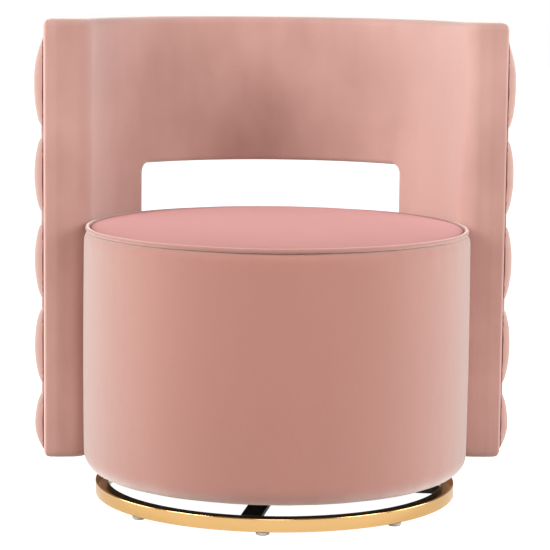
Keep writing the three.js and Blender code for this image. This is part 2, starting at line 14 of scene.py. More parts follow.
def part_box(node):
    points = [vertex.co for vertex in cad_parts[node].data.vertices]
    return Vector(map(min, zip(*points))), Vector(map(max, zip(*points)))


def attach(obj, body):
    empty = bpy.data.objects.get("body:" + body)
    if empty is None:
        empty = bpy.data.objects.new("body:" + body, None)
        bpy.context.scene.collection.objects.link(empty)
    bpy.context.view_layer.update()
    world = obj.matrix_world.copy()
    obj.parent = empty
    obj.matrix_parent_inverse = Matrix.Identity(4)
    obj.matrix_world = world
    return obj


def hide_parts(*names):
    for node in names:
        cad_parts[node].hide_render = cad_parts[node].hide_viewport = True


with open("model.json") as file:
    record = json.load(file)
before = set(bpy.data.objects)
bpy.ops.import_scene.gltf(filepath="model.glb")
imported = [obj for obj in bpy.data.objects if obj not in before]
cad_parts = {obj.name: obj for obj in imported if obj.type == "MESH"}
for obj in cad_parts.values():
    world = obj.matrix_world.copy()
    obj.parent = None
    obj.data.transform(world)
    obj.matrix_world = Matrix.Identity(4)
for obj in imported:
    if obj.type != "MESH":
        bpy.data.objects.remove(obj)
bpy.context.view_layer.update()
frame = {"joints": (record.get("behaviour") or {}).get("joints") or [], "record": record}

# ---- Places and sizes that the frame gives ----
AXIS = Vector(next(j for j in frame["joints"] if j["name"] == "seat_swivel")["pos_m"])
low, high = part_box("inner_cover")
SHELL_BOTTOM, SHELL_TOP, ARM_FRONT = low[2], high[2], low[1] - AXIS.y
low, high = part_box("drum_cover")
DRUM_BOTTOM, DRUM_TOP = low[2], high[2]
DRUM_RADIUS = (high[0] - low[0]) / 2
low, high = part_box("seat_cover")
CROWN_TOP, CROWN_RADIUS = high[2], (high[0] - low[0]) / 2
low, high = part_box("seat_welt")
WELT_LEVEL, WELT_OUTER = (low[2] + high[2]) / 2, (high[0] - low[0]) / 2
low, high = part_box("base_ring")
RING_BOTTOM, RING_TOP = low[2], high[2]

# ---- Sizes of the base and the upholstery ----
RING_OUTER, RING_WIDTH, RING_EDGE = 0.275, 0.0195, 0.0016
SHELL_INNER = 0.293
SEAM_RADIUS = 0.3615
PANEL_SETBACK = 0.0035  # from the arms' fronts back to the edge of the tufted panel
PADDING_SETBACK = 0.0035  # from the covers in to the padding under them
WINDOW_HALF_ANGLE = math.radians(44.1)
WINDOW_HEAD, WINDOW_SILL, WINDOW_CORNER = 0.491, 0.372, 0.015
TUFT_PERIOD, TUFT_TOP_ROW, TUFT_ROWS = 0.1325, 0.61725, 4
TUFT_COLUMNS, TUFT_ANGLE = 13, math.radians(11.75)
PANEL_FLOOR, PILLOW_RISE = 0.0065, 0.011
DIMPLES = ((0.007, 0.013), (0.003, 0.030))  # depth and width of each tuft's narrow and wide dimple
BUTTON_RADIUS = 0.0085
CREASE = 0.0035
TINY = 1e-9


# ---- Mesh helpers ----
def mesh_object(name, points, faces, body="seat", smooth=True):
    mesh = bpy.data.meshes.new(name)
    mesh.from_pydata([tuple(p) for p in points], [], [tuple(f) for f in faces])
    mesh.validate()
    work = bmesh.new()
    work.from_mesh(mesh)
    bmesh.ops.remove_doubles(work, verts=work.verts, dist=1e-6)
    bmesh.ops.delete(work, geom=[v for v in work.verts if not v.link_faces], context="VERTS")
    bmesh.ops.recalc_face_normals(work, faces=work.faces)
    work.to_mesh(mesh)
    work.free()
    mesh.polygons.foreach_set("use_smooth", [smooth] * len(mesh.polygons))
    piece = bpy.data.objects.new(name, mesh)
    bpy.context.scene.collection.objects.link(piece)
    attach(piece, body)
    return piece


def dress(piece, look):
    piece.data.materials.clear()
    piece.data.materials.append(look)
    return piece


def grid_faces(rows, columns, start=0, wrap_columns=False, wrap_rows=False):
    faces = []
    for j in range(rows if wrap_rows else rows - 1):
        for i in range(columns if wrap_columns else columns - 1):
            a, b = j * columns + i, j * columns + (i + 1) % columns
            c, d = (j + 1) % rows * columns + (i + 1) % columns, (j + 1) % rows * columns + i
            faces.append((start + a, start + b, start + c, start + d))
    return faces


def around(radius, angle, z):
    """A point at an angle about the swivel axis, counted from +X towards the back."""
    return (AXIS.x + radius * math.cos(angle), AXIS.y + radius * math.sin(angle), z)


def arc(r, z, across, up, start, end, steps):
    """Points of a quarter ellipse about (r, z), between two angles in degrees."""
    angles = np.radians(np.linspace(start, end, steps + 1))
    return [(r + across * math.cos(t), z + up * math.sin(t)) for t in angles]


def spaced(start, end, step):
    count = max(1, round(abs(end - start) / step))
    return list(np.linspace(start, end, count + 1))


def stations(*marks):
    """Grid lines between marks, each given as (place, spacing up to the next mark)."""
    lines = []
    for (start, step), (end, _) in zip(marks, marks[1:]):
        lines += spaced(start, end, step)[:-1]
    return lines + [marks[-1][0]]


def soft_noise(x, y, z, size, seed=0):
    """Smooth noise from -1 to 1 with lumps of about the given size."""
    return noise.noise(Vector((x / size + 17.3 * seed, y / size, z / size + 5.1 * seed)))


# ---- Materials ----
def new_material(name):
    material = bpy.data.materials.new(name)
    material.use_nodes = True
    tree = material.node_tree
    return material, tree, tree.nodes["Principled BSDF"]


def noise_node(tree, scale, detail=2, roughness=0.5, stretch=(1, 1, 1)):
    place = tree.nodes.new("ShaderNodeTexCoord")
    mapping = tree.nodes.new("ShaderNodeMapping")
    mapping.inputs["Scale"].default_value = stretch
    texture = tree.nodes.new("ShaderNodeTexNoise")
    texture.inputs["Scale"].default_value = scale
    texture.inputs["Detail"].default_value = detail
    texture.inputs["Roughness"].default_value = roughness
    tree.links.new(place.outputs["Object"], mapping.inputs["Vector"])
    tree.links.new(mapping.outputs["Vector"], texture.inputs["Vector"])
    return texture.outputs["Fac"]


def ramp_node(tree, value, stops):
    ramp = tree.nodes.new("ShaderNodeValToRGB")
    elements = ramp.color_ramp.elements
    while len(elements) < len(stops):
        elements.new(0.5)
    for element, (place, colour) in zip(elements, stops):
        element.position = place
        element.color = (*colour, 1)
    tree.links.new(value, ramp.inputs["Fac"])
    return ramp.outputs["Color"]


def multiplied(tree, first, second):
    mix = tree.nodes.new("ShaderNodeMix")
    mix.data_type = "RGBA"
    mix.blend_type = "MULTIPLY"
    mix.inputs["Factor"].default_value = 1.0
    for socket, value in (("A", first), ("B", second)):
        target = next(s for s in mix.inputs if s.name == socket and s.type == "RGBA")
        tree.links.new(value, target)
    return next(s for s in mix.outputs if s.type == "RGBA")


def bump_node(tree, shader, heights):
    """Stacks bumps: each is (height socket, strength, distance)."""
    normal = None
    for height, strength, distance in heights:
        bump = tree.nodes.new("ShaderNodeBump")
        bump.inputs["Strength"].default_value = strength
        bump.inputs["Distance"].default_value = distance
        tree.links.new(height, bump.inputs["Height"])
        if normal is not None:
            tree.links.new(normal, bump.inputs["Normal"])
        normal = bump.outputs["Normal"]
    tree.links.new(normal, shader.inputs["Normal"])


def velvet(name, light, dark, sheen, sides=0.0, right=0.0):
    """Short-pile velvet: patches of brushed pile, lighter and darker at random, a fine pile and a soft
    sheen.

    Painted light by the surface's own direction: faces that look sideways can be made lighter, and faces
    that look left lighter and faces that look right darker, standing in for how the lamps fall on them.
    """
    material, tree, shader = new_material(name)
    patches = tree.nodes.new("ShaderNodeMapRange")
    patches.inputs["To Min"].default_value = 0.26
    patches.inputs["To Max"].default_value = 0.74
    tree.links.new(noise_node(tree, 7, 3, 0.55, (1, 1, 0.6)), patches.inputs["Value"])
    nap_and_painted_light = patches.outputs["Result"]
    facing = tree.nodes.new("ShaderNodeTexCoord").outputs["Normal"]
    absolute = tree.nodes.new("ShaderNodeVectorMath")
    absolute.operation = "ABSOLUTE"
    tree.links.new(facing, absolute.inputs[0])
    # Painted light: sides makes faces that look sideways lighter; right makes faces that look left lighter
    # and faces that look right darker
    for direction, amount in ((absolute.outputs["Vector"], sides), (facing, -right)):
        along = tree.nodes.new("ShaderNodeVectorMath")
        along.operation = "DOT_PRODUCT"
        along.inputs[1].default_value = (amount, 0, 0)
        tree.links.new(direction, along.inputs[0])
        total = tree.nodes.new("ShaderNodeMath")
        tree.links.new(nap_and_painted_light, total.inputs[0])
        tree.links.new(along.outputs["Value"], total.inputs[1])
        nap_and_painted_light = total.outputs["Value"]
    pile = noise_node(tree, 1400, 2, 0.6)
    colour = ramp_node(tree, nap_and_painted_light, [(0.3, dark), (0.9, light)])
    speckle = ramp_node(tree, pile, [(0.3, (0.86, 0.86, 0.86)), (0.7, (1, 1, 1))])
    tree.links.new(multiplied(tree, colour, speckle), shader.inputs["Base Color"])
    shader.inputs["Roughness"].default_value = 0.8
    shader.inputs["Specular IOR Level"].default_value = 0.25
    shader.inputs["Sheen Weight"].default_value = 1.0
    shader.inputs["Sheen Roughness"].default_value = 0.6
    shader.inputs["Sheen Tint"].default_value = (*sheen, 1)
    bump_node(tree, shader, [(noise_node(tree, 60, 3), 0.15, 0.002), (pile, 0.35, 0.0004)])
    return material


def metal(name, colour, roughness, spots=0.0, metallic=1.0):
    """Plated or painted metal with faint smudges in its gloss."""
    material, tree, shader = new_material(name)
    smudges = noise_node(tree, 9, 4, 0.6)
    edge = tuple(min(1, c * 1.04) for c in colour)
    tree.links.new(ramp_node(tree, smudges, [(0.35, colour), (0.7, edge)]), shader.inputs["Base Color"])
    gloss = tree.nodes.new("ShaderNodeMapRange")
    gloss.inputs["To Min"].default_value = roughness
    gloss.inputs["To Max"].default_value = roughness + 0.08
    tree.links.new(smudges, gloss.inputs["Value"])
    tree.links.new(gloss.outputs["Result"], shader.inputs["Roughness"])
    shader.inputs["Metallic"].default_value = metallic
    if spots:
        bump_node(tree, shader, [(noise_node(tree, 700, 2), spots, 0.0004)])
    return material


def plywood():
    material, tree, shader = new_material("plywood")
    grain = noise_node(tree, 30, 4, 0.6, (1, 8, 1))
    colour = ramp_node(tree, grain, [(0.3, (0.45, 0.29, 0.14)), (0.7, (0.62, 0.43, 0.24))])
    tree.links.new(colour, shader.inputs["Base Color"])
    shader.inputs["Roughness"].default_value = 0.7
    bump_node(tree, shader, [(grain, 0.3, 0.0005)])
    return material


def grainy(name, light, dark, roughness, scale, depth):
    """A matt material with a fine even grain: foam, woven dust cloth or moulded plastic."""
    material, tree, shader = new_material(name)
    grain = noise_node(tree, scale, 3, 0.6)
    tree.links.new(ramp_node(tree, grain, [(0.3, dark), (0.7, light)]), shader.inputs["Base Color"])
    shader.inputs["Roughness"].default_value = roughness
    bump_node(tree, shader, [(grain, 0.4, depth)])
    return material


# Painted light: these velvets are lit and shaded copies of one fabric, each region's tone and sheen colour
# set lighter or darker to stand in for how the light falls on it
DRUM_VELVET = velvet("drum_velvet", (0.475, 0.185, 0.14), (0.40, 0.15, 0.112), (1, 0.97, 0.92))
SEAT_VELVET = velvet("seat_velvet", (0.52, 0.225, 0.195), (0.43, 0.175, 0.15), (0.46, 0.27, 0.27))
# Painted light: the back velvet is lighter on faces that look sideways and on faces that look left, and
# darker on faces that look right
BACK_VELVET = velvet(
    "back_velvet", (0.80, 0.47, 0.41), (0.33, 0.135, 0.10), (1, 0.89, 0.84), sides=0.30, right=0.20
)
PANEL_VELVET = velvet("panel_velvet", (0.55, 0.27, 0.22), (0.48, 0.225, 0.18), (1, 0.97, 0.92))
WELT_VELVET = velvet("welt_velvet", (0.48, 0.20, 0.16), (0.40, 0.16, 0.125), (0.9, 0.8, 0.75))
# Painted shade: a near-black velvet that stands in for the shadow in the seam crease at the arms' fronts
SEAM_CREASE_PAINTED_SHADE = velvet("seam_crease_painted_shade", (0.16, 0.05, 0.04), (0.13, 0.04, 0.03), (0.3, 0.2, 0.17))
GOLD = metal("polished_gold", (0.80, 0.50, 0.20), 0.10)
BLACK = metal("black_steel", (0.011, 0.009, 0.007), 0.42, 0.25, 0.0)
STEEL = metal("zinc_steel", (0.55, 0.56, 0.57), 0.32)
LOOKS = {
    "velvet": BACK_VELVET,
    "gold": GOLD,
    "black_steel": BLACK,
    "steel": STEEL,
    "glide_plastic": grainy("grey_plastic", (0.45, 0.44, 0.41), (0.38, 0.37, 0.34), 0.55, 500, 0.0002),
    "plywood": plywood(),
    "foam": grainy("foam", (0.82, 0.77, 0.60), (0.70, 0.64, 0.47), 0.95, 300, 0.001),
    "dust_cloth": grainy("dust_cloth", (0.022, 0.021, 0.021), (0.012, 0.011, 0.011), 0.95, 900, 0.0005),
}


# ---- Seat ----
def drum_surface():
    """The drum's side cover: rounded in at the bottom, pulled in under the welt at the top."""
    bend_r, bend_z, neck_r, neck_z = 0.0245, 0.028, 0.008, 0.016
    lip = 0.258
    profile = [(lip + 0.002, DRUM_BOTTOM + 0.002), (lip, DRUM_BOTTOM + 0.0005)]
    profile += [(r, DRUM_BOTTOM) for r in spaced(lip + 0.002, DRUM_RADIUS - bend_r - 0.001, 0.004)]
    profile += arc(DRUM_RADIUS - bend_r, DRUM_BOTTOM + bend_z, bend_r, bend_z, -90, 0, 12)[1:]
    straight = spaced(DRUM_BOTTOM + bend_z, DRUM_TOP - neck_z, 0.008)
    profile += [(DRUM_RADIUS, z) for z in straight[1:]]
    profile += arc(DRUM_RADIUS - neck_r, DRUM_TOP - neck_z, neck_r, neck_z, 0, 85, 8)[1:]
    profile += [(DRUM_RADIUS - neck_r - 0.003, DRUM_TOP + 0.0015)]
    columns = 240
    points = []
    for r, z in profile:
        up = (z - DRUM_BOTTOM) / (DRUM_TOP - DRUM_BOTTOM)
        for i in range(columns):
            angle = 2 * math.pi * i / columns
            x, y = math.cos(angle), math.sin(angle)
            swell = 0.0012 * math.sin(math.pi * min(1, max(0, up)))
            wave = 0.0009 * soft_noise(x, y, z, 0.35, 1)
            near_top = math.exp(-((1 - up) / 0.10) ** 2)
            near_bottom = math.exp(-(up / 0.09) ** 2)
            pucker = 0.0007 * near_top * soft_noise(x * 6, y * 6, z, 0.5, 2)
            gather = 0.0012 * near_bottom * soft_noise(x * 5, y * 5, z * 2, 0.5, 3)
            points.append(around(r + swell + wave + pucker + gather, angle, z))
    faces = grid_faces(len(profile), columns, wrap_columns=True)
    return mesh_object("drum_cover_velvet", points, faces)


def disc_grid(size):
    """Points of a square grid pressed into the unit disc, with its cells kept even."""
    steps = np.linspace(-1, 1, size)
    flat = []
    for v in steps:
        for u in steps:
            flat.append((u * math.sqrt(1 - v * v / 2), v * math.sqrt(1 - u * u / 2)))
    return flat


def cushion():
    """The crowned seat top: a closed pad whose rim is sewn into the welt."""
    size = 97
    rim = CROWN_RADIUS + 0.0015
    rim_level = WELT_LEVEL - 0.0005
    rise = CROWN_TOP - rim_level
    flat = disc_grid(size)
    top, under = [], []
    for u, v in flat:
        r = min(1, math.hypot(u, v))
        crown = (1 - r ** 2) ** 0.62
        x, y = rim * u, rim * v
        top.append((AXIS.x + x, AXIS.y + y, rim_level + rise * crown))
        under.append((AXIS.x + x, AXIS.y + y, rim_level - 0.003 - 0.004 * (1 - r ** 4)))
    faces = grid_faces(size, size)
    faces += [tuple(reversed(f)) for f in grid_faces(size, size, size * size)]
    edge = list(range(size)) + [j * size + size - 1 for j in range(1, size)]
    edge += [size * size - 2 - i for i in range(size - 1)] + [j * size for j in range(size - 2, 0, -1)]
    for a, b in zip(edge, edge[1:] + edge[:1]):
        faces.append((a, b, size * size + b, size * size + a))
    return mesh_object("seat_cushion", top + under, faces)


def tube_ring(name, radius, level, thickness, seed):
    """A cord in its fabric sleeve around the seat, with the sleeve's seam allowance tucked inwards."""
    columns, sides = 320, 14
    points = []
    for i in range(columns):
        angle = 2 * math.pi * i / columns
        x, y = math.cos(angle), math.sin(angle)
        drift = 0.0005 * soft_noise(x, y, 0, 0.3, seed)
        lift = 0.0007 * soft_noise(x, y, 1, 0.4, seed + 1)
        for k in range(sides):
            turn = 2 * math.pi * k / sides
            swell = thickness * (1 + 0.035 * soft_noise(x * 9, y * 9, k / sides, 0.3, seed + 2))
            points.append(
                around(radius + drift + swell * math.cos(turn), angle, level + lift + swell * math.sin(turn))
            )
    faces = grid_faces(columns, sides, wrap_columns=True, wrap_rows=True)
    return mesh_object(name, points, faces)


def dust_cloth():
    """The thin cloth under the seat, stapled tight round its rim and a little slack between."""
    low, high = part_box("dust_cover")
    spacer_low, spacer_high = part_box("swivel_spacer")
    outer, inner = (high[0] - low[0]) / 2, (spacer_high[0] - spacer_low[0]) / 2 + 0.002
    radii = spaced(inner, outer, 0.006)
    profile = [(r, low[2]) for r in radii] + [(r, high[2]) for r in reversed(radii)]
    columns = 200
    points = []
    for r, z in profile:
        slack = math.sin(math.pi * (r - inner) / (outer - inner))
        for i in range(columns):
            angle = 2 * math.pi * i / columns
            x, y = math.cos(angle), math.sin(angle)
            ripple = 0.5 + 0.5 * soft_noise(x * 5, y * 5, r * 8, 0.6, 9)
            points.append(around(r, angle, z - 0.0012 * slack * ripple))
    faces = grid_faces(len(profile), columns, wrap_columns=True, wrap_rows=True)
    cloth = dress(mesh_object("dust_cloth", points, faces), LOOKS["dust_cloth"])
    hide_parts("dust_cover")


# ---- Back shell ----
MID_RADIUS = (SHELL_INNER + SEAM_RADIUS) / 2
HALF_THICKNESS = (SEAM_RADIUS - SHELL_INNER) / 2
WINDOW_HALF_WRAP = WINDOW_HALF_ANGLE * MID_RADIUS
NOSE, OUTER_CORNER, BEND, WINDOW_EDGE = 0.036, 0.005, 0.0125, 0.007


def window_offset(along, z, corner):
    """How far a place lies outside the window drawn in by its corner's size, across and up."""
    up = z - (WINDOW_HEAD + WINDOW_SILL) / 2
    half_across, half_up = WINDOW_HALF_WRAP - corner, (WINDOW_HEAD - WINDOW_SILL) / 2 - corner
    return along - max(-half_across, min(half_across, along)), up - max(-half_up, min(half_up, up))


def rounded_window(along, z):
    """Moves a place on a rectangular grid so that the window's outline gets its round corners."""
    beyond_a, beyond_b = window_offset(along, z, 0)
    off_a, off_b = window_offset(along - beyond_a, z - beyond_b, WINDOW_CORNER)
    if min(abs(off_a), abs(off_b)) < TINY:
        return along, z
    fade = max(0, 1 - math.hypot(beyond_a, beyond_b) / 0.05) ** 2
    shift = fade * (WINDOW_CORNER / math.hypot(off_a, off_b) - 1)
    return along + off_a * shift, z + off_b * shift


def window_distance(along, z):
    """How far a place lies outside the window's outline, and the direction away from it."""
    off_a, off_b = window_offset(along, z, WINDOW_CORNER)
    length = math.hypot(off_a, off_b)
    if length < TINY:
        return -WINDOW_CORNER, (0, 0)
    return length - WINDOW_CORNER, (off_a / length, off_b / length)


def wall_point(along, z, radius):
    """A place on one of the shell's curved faces or on the window's lining, whose edges are rounded."""
    along, z = rounded_window(along, z)
    distance, direction = window_distance(along, z)
    inner_side = radius < MID_RADIUS
    depth = radius - SHELL_INNER if inner_side else SEAM_RADIUS - radius
    if distance < WINDOW_EDGE and depth < WINDOW_EDGE:
        off_t, off_c = distance - WINDOW_EDGE, depth - WINDOW_EDGE
        scale = WINDOW_EDGE / math.hypot(off_t, off_c)
        shift = WINDOW_EDGE + off_t * scale - distance
        along, z = along + direction[0] * shift, z + direction[1] * shift
        depth = WINDOW_EDGE + off_c * scale
        radius = SHELL_INNER + depth if inner_side else SEAM_RADIUS - depth
    return around(radius, math.pi / 2 + along / MID_RADIUS, z)


def wall_stations():
    """Places along the shell's curved faces: as (1, along) beside the window, else as (0, share)."""
    half, corner, edge = WINDOW_HALF_WRAP, WINDOW_CORNER, 2 * WINDOW_EDGE
    inside = stations(
        (-half - edge, 0.002), (-half, 0.0025), (corner - half, 0.010), (half - corner, 0.0025),
        (half, 0.002), (half + edge, 0),
    )
    shares = [i / 18 for i in range(19)]
    right = [(0, -1 + share) for share in shares[:-1]]
    left = [(0, share) for share in shares[1:]]
    return right + [(1, along) for along in inside] + left


def shell_outline(inset):
    """The shell in plan, drawn in by an inset: points right round it, each with its wall station."""
    inner, outer, front = SHELL_INNER + inset, SEAM_RADIUS - inset, ARM_FRONT + inset
    shrink = 1 - inset / HALF_THICKNESS
    nose, corner = NOSE * shrink, max(0, OUTER_CORNER - inset)
    nose_y, corner_y = front + nose, front + corner
    nose_x = math.sqrt((inner + nose) ** 2 - nose_y ** 2)
    corner_x = math.sqrt((outer - corner) ** 2 - corner_y ** 2)
    edge = (WINDOW_HALF_WRAP + 2 * WINDOW_EDGE) / MID_RADIUS

    def wall(radius, end):
        points = []
        for kind, place in wall_stations():
            angle = place / MID_RADIUS
            if not kind:
                free = math.pi / 2 - end - edge
                angle = edge + free * place if place > 0 else -edge - free * -place
            points.append((radius * math.sin(-angle), radius * math.cos(angle), (radius, angle)))
        return points

    inner_end, outer_end = math.atan2(nose_y, nose_x), math.atan2(corner_y, corner_x)
    left = []
    for turn in np.linspace(math.pi + inner_end, 1.5 * math.pi, 15)[1:]:
        left.append((-(nose_x + nose * math.cos(turn)), nose_y + nose * math.sin(turn), None))
    for share in np.linspace(0, 1, 7)[1:]:
        across = nose_x + share * (corner_x - nose_x)
        swell = 0.0012 * shrink * math.sin(math.pi * share) ** 2
        left.append((-across, front - swell, None))
    for turn in np.linspace(-math.pi / 2, outer_end, 7)[1:-1]:
        left.append((-(corner_x + corner * math.cos(turn)), corner_y + corner * math.sin(turn), None))
    right = [(-x, y, None) for x, y, _ in reversed(left)]
    return wall(inner, inner_end) + left + list(reversed(wall(outer, outer_end))) + right


def under_panel(place, along, z, end):
    """Sinks a place on the cover's hidden outside, so that it falls away behind its seam with the panel."""
    from_edge = min(z - SHELL_BOTTOM - BEND, SHELL_TOP - BEND - z, end - abs(along))
    window, _ = window_distance(*rounded_window(along, z))
    sink = 0.012 * max(0, min(1, from_edge / 0.006, window / WINDOW_EDGE))
    x, y = place[0] - AXIS.x, place[1] - AXIS.y
    scale = 1 - sink / math.hypot(x, y)
    return AXIS.x + x * scale, AXIS.y + y * scale, place[2]


def inner_cover():
    """The smooth cover of the shell: its inside, top, bottom, arm fronts and the window's lining."""
    levels = stations(
        (SHELL_BOTTOM + BEND, 0.010), (WINDOW_SILL - 2 * WINDOW_EDGE, 0.002), (WINDOW_SILL, 0.0025),
        (WINDOW_SILL + WINDOW_CORNER, 0.010), (WINDOW_HEAD - WINDOW_CORNER, 0.0025),
        (WINDOW_HEAD, 0.002), (WINDOW_HEAD + 2 * WINDOW_EDGE, 0.010), (SHELL_TOP - BEND, 0),
    )
    rows = [(0, z) for z in levels]
    for turn in np.linspace(0, math.pi / 2, 9)[1:]:
        inset, rise = BEND * (1 - math.cos(turn)), BEND * math.sin(turn)
        rows = [(inset, levels[0] - rise)] + rows + [(inset, levels[-1] + rise)]
    for inset in np.linspace(BEND, HALF_THICKNESS, 6)[1:]:
        rows = [(inset, SHELL_BOTTOM)] + rows + [(inset, SHELL_TOP)]

    stations_along = wall_stations()
    wall_count = len(stations_along)
    outside_end = MID_RADIUS * max(abs(w[1]) for _, _, w in shell_outline(0) if w and w[0] > MID_RADIUS)
    points, faces = [], []
    for inset, z in rows:
        outline = shell_outline(inset)
        for x, y, wall in outline:
            if wall and inset == 0:
                radius, angle = wall
                place = wall_point(angle * MID_RADIUS, z, radius)
                if radius > MID_RADIUS:
                    place = under_panel(place, angle * MID_RADIUS, z, outside_end)
                points.append(place)
            else:
                points.append((AXIS.x + x, AXIS.y + y, z))
    columns = len(shell_outline(0))
    half = WINDOW_HALF_WRAP
    at_window = [kind == 1 and abs(along) <= half + TINY for kind, along in stations_along]
    side_count = (columns - 2 * wall_count) // 2
    opposite = {i: 2 * wall_count + side_count - 1 - i for i in range(wall_count)}
    open_inner = [i for i in range(wall_count - 1) if at_window[i] and at_window[i + 1]]
    open_columns = set(open_inner) | {opposite[i + 1] for i in open_inner}
    open_rows = {
        j for j, (inset, z) in enumerate(rows)
        if inset == 0 and WINDOW_SILL - TINY <= z < WINDOW_HEAD - TINY
    }
    for j in range(len(rows) - 1):
        for i in range(columns):
            if not (j in open_rows and i in open_columns):
                a, b = j * columns, (j + 1) * columns
                faces.append((a + i, a + (i + 1) % columns, b + (i + 1) % columns, b + i))

    across = [along for kind, along in stations_along if kind and abs(along) <= half + TINY]
    upright = [z for z in levels if WINDOW_SILL - TINY <= z <= WINDOW_HEAD + TINY]
    through = stations(
        (SHELL_INNER, 0.001), (SHELL_INNER + WINDOW_EDGE, 0.009),
        (SEAM_RADIUS - WINDOW_EDGE, 0.001), (SEAM_RADIUS, 0),
    )
    lining = [[(along, level) for along in across] for level in (WINDOW_SILL, WINDOW_HEAD)]
    lining += [[(side, z) for z in upright] for side in (-half, half)]
    for border in lining:
        start = len(points)
        points += [wall_point(along, z, radius) for radius in through for along, z in border]
        faces += grid_faces(len(through), len(border), start=start)
    return mesh_object("inner_cover_velvet", points, faces)


def tuft_height(angle, z):
    """How far the tufted panel stands out: diamond pillows between pleats that meet at sunk tufts."""
    column = (angle - math.pi / 2) / TUFT_ANGLE + (TUFT_COLUMNS + 1) / 2
    last_row = TUFT_TOP_ROW - TUFT_ROWS * TUFT_PERIOD
    row = (max(last_row - 0.5 * TUFT_PERIOD, min(TUFT_TOP_ROW, z)) - TUFT_TOP_ROW) / TUFT_PERIOD
    inner_column = max(1, min(TUFT_COLUMNS, column))
    first = abs(math.sin(math.pi * (inner_column / 2 + row)))
    second = abs(math.sin(math.pi * (inner_column / 2 - row)))
    beyond = min(1, abs(column - inner_column) / 0.35)
    flat = max(0, (math.sqrt(first * second) - 0.24) / 0.76)
    pillow = (1 - beyond) * (first * second) ** 0.40 + beyond * flat ** 0.6
    dimple = 0
    for near_column in {math.floor(inner_column), math.ceil(inner_column)}:
        offset = (near_column % 2) / 2
        upwards = (row - round(row - offset) - offset) * TUFT_PERIOD
        sideways = (column - near_column) * TUFT_ANGLE * SEAM_RADIUS
        tuft = math.hypot(sideways, upwards)
        dimple += sum(depth * math.exp(-((tuft / width) ** 2)) for depth, width in DIMPLES)
    return PANEL_FLOOR + PILLOW_RISE * pillow - dimple


def arched(distance, width):
    """Rises from 0 to 1 like a quarter circle."""
    part = max(0, min(1, distance / width))
    return math.sqrt(1 - (1 - part) ** 2)


def tufted_panel():
    """The outer cover, an open sheet whose edges are sunk against the inner cover.

    Its faces in the crease at the arms' fronts take a painted shade: a near-black velvet that stands in for
    the shadow there.
    """
    start = math.asin((ARM_FRONT + PANEL_SETBACK) / SEAM_RADIUS)
    at_front = stations((0, 0.0003), (0.0012, 0.0006), (0.003, 0.0012), (0.0066, 0))
    half_wrap = (math.pi / 2 - start) * SEAM_RADIUS
    coarse_from = 0.0092
    places = [d - half_wrap for d in at_front]
    places += spaced(coarse_from - half_wrap, half_wrap - coarse_from, 0.0026)
    places += [half_wrap - d for d in reversed(at_front)]
    bottom, top = SHELL_BOTTOM + 0.011, SHELL_TOP - 0.013
    rows = spaced(bottom, top, 0.003)
    points, faces, kept = [], [], {}
    for j, z in enumerate(rows):
        for i, place in enumerate(places):
            angle = math.pi / 2 + place / SEAM_RADIUS
            sideways = SEAM_RADIUS * math.sin(angle) - ARM_FRONT - PANEL_SETBACK
            window, _ = window_distance((angle - math.pi / 2) * MID_RADIUS, z)
            rise = math.sin(math.pi / 2 * max(0, min(1, (top - z) / 0.080)))
            rise *= arched(z - bottom, 0.045) * arched(sideways, 0.018) * arched(window + 0.002, 0.020)
            x, y = math.cos(angle), math.sin(angle)
            wave = 0.0008 * soft_noise(x, y, z, 0.12, 5) + 0.0003 * soft_noise(x, y, z, 0.03, 6)
            pucker = 0.0007 * math.exp(-max(0, sideways) / 0.012) * soft_noise(x, y, z * 3, 0.05, 7)
            height = rise * (tuft_height(angle, z) + wave + CREASE) + pucker - CREASE
            kept[i, j] = len(points) if window > -0.004 else None
            points.append(around(SEAM_RADIUS + height, angle, z))
    for j in range(len(rows) - 1):
        for i in range(len(places) - 1):
            corners = (kept[i, j], kept[i + 1, j], kept[i + 1, j + 1], kept[i, j + 1])
            if None not in corners:
                faces.append(corners)
    panel = dress(mesh_object("tufted_panel_velvet", points, faces), PANEL_VELVET)
    # Painted shade: faces in the seam crease at the arms' fronts get the near-black velvet in place of the
    # shadow there
    panel.data.materials.append(SEAM_CREASE_PAINTED_SHADE)
    for face in panel.data.polygons:
        beyond_seam = (face.center - AXIS).xy.length - SEAM_RADIUS
        at_arm_front = face.center.y - AXIS.y < ARM_FRONT + PANEL_SETBACK + 0.003
        face.material_index = int(at_arm_front and beyond_seam < 0.0014)
    return panel


def tuft_buttons():
    """A small covered button in each tuft that lies clear of the window and the bottom edge."""
    points, faces = [], []
    rings, sides = ((0, 0.0032), (0.5, 0.0028), (0.85, 0.0015), (1, -0.0005), (0.9, -0.004)), 16
    for column in range(1, TUFT_COLUMNS + 1):
        for step in range(TUFT_ROWS + 1):
            z = TUFT_TOP_ROW - (step + (column % 2) / 2) * TUFT_PERIOD
            angle = math.pi / 2 + (column - (TUFT_COLUMNS + 1) / 2) * TUFT_ANGLE
            window, _ = window_distance((angle - math.pi / 2) * MID_RADIUS, z)
            if window < 0.012 or z < SHELL_BOTTOM + 0.03:
                continue
            middle = SEAM_RADIUS + tuft_height(angle, z) + 0.0012
            start = len(points)
            for share, rise in rings:
                for k in range(sides):
                    turn = 2 * math.pi * k / sides
                    sideways = share * BUTTON_RADIUS * math.cos(turn) / middle
                    upwards = share * BUTTON_RADIUS * math.sin(turn)
                    points.append(around(middle + rise, angle + sideways, z + upwards))
            faces += grid_faces(len(rings), sides, start=start, wrap_columns=True)
    return mesh_object("tuft_buttons", points, faces)


